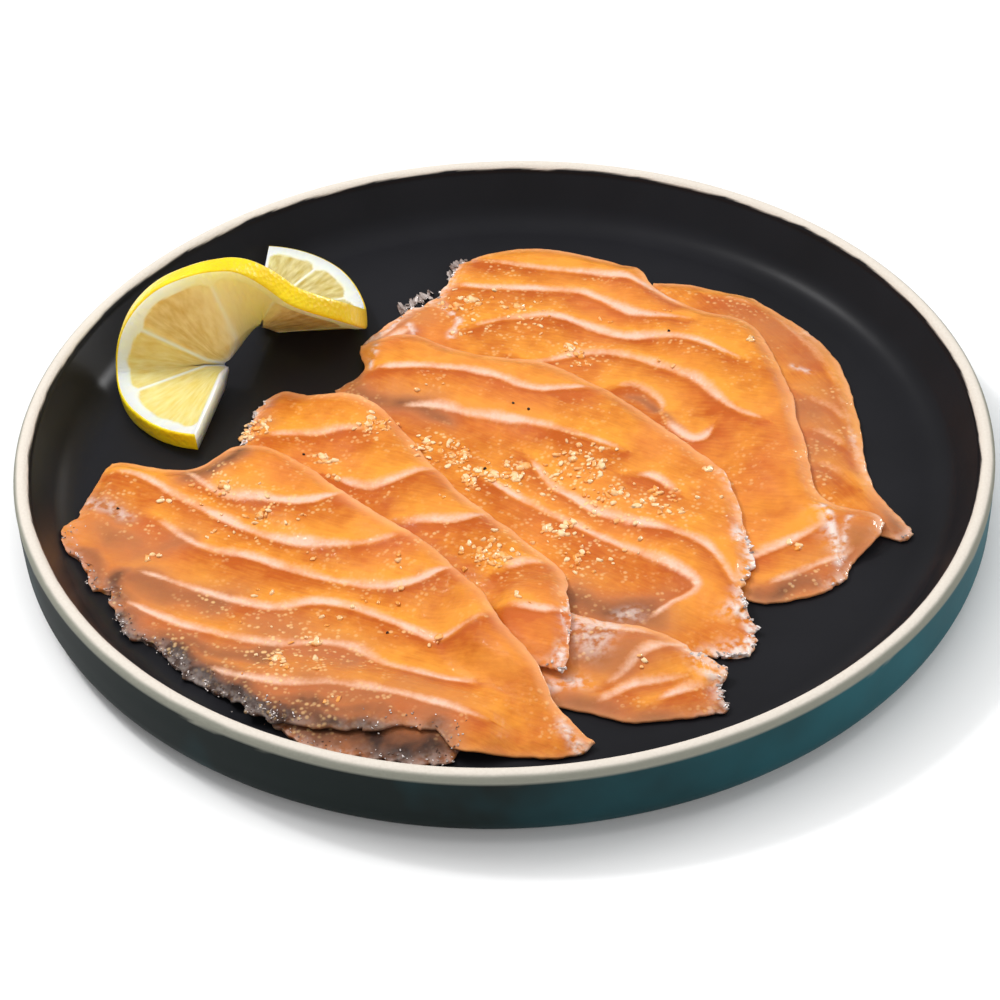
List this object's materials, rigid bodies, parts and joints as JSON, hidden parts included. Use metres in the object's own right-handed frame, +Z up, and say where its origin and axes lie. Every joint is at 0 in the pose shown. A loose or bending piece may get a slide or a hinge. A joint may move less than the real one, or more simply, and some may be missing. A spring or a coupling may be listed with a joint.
{
  "type": "salmon carpaccio",
  "caption": "Thin raw salmon slices fanned and overlapping on a round walled stoneware plate, scattered with pale crumbs and finished with a twisted lemon slice.",
  "frame": {"origin": "centre of the plate on the surface that it stands on", "axes": "+Z up, +Y away from the diner, +X to the diner's right; the lemon twist is at -X, +Y"},
  "size_m": [0.25, 0.25, 0.0453],
  "materials": {
    "glazed_stoneware": "satin black glaze inside, dark green to teal outside, bare cream clay on the lip",
    "raw_salmon": "wet translucent orange flesh with pale fat lines and small cream crumbs",
    "lemon": "pored yellow peel, white pith and juicy translucent pulp"
  },
  "bodies": {
    "root": {"plate": "glazed_stoneware", "slice_rear": "raw_salmon", "slice_back": "raw_salmon", "slice_centre": "raw_salmon", "slice_tail": "raw_salmon", "slice_middle": "raw_salmon", "slice_sliver": "raw_salmon", "slice_front": "raw_salmon", "lemon_twist": "lemon"}
  },
  "joints": []
}
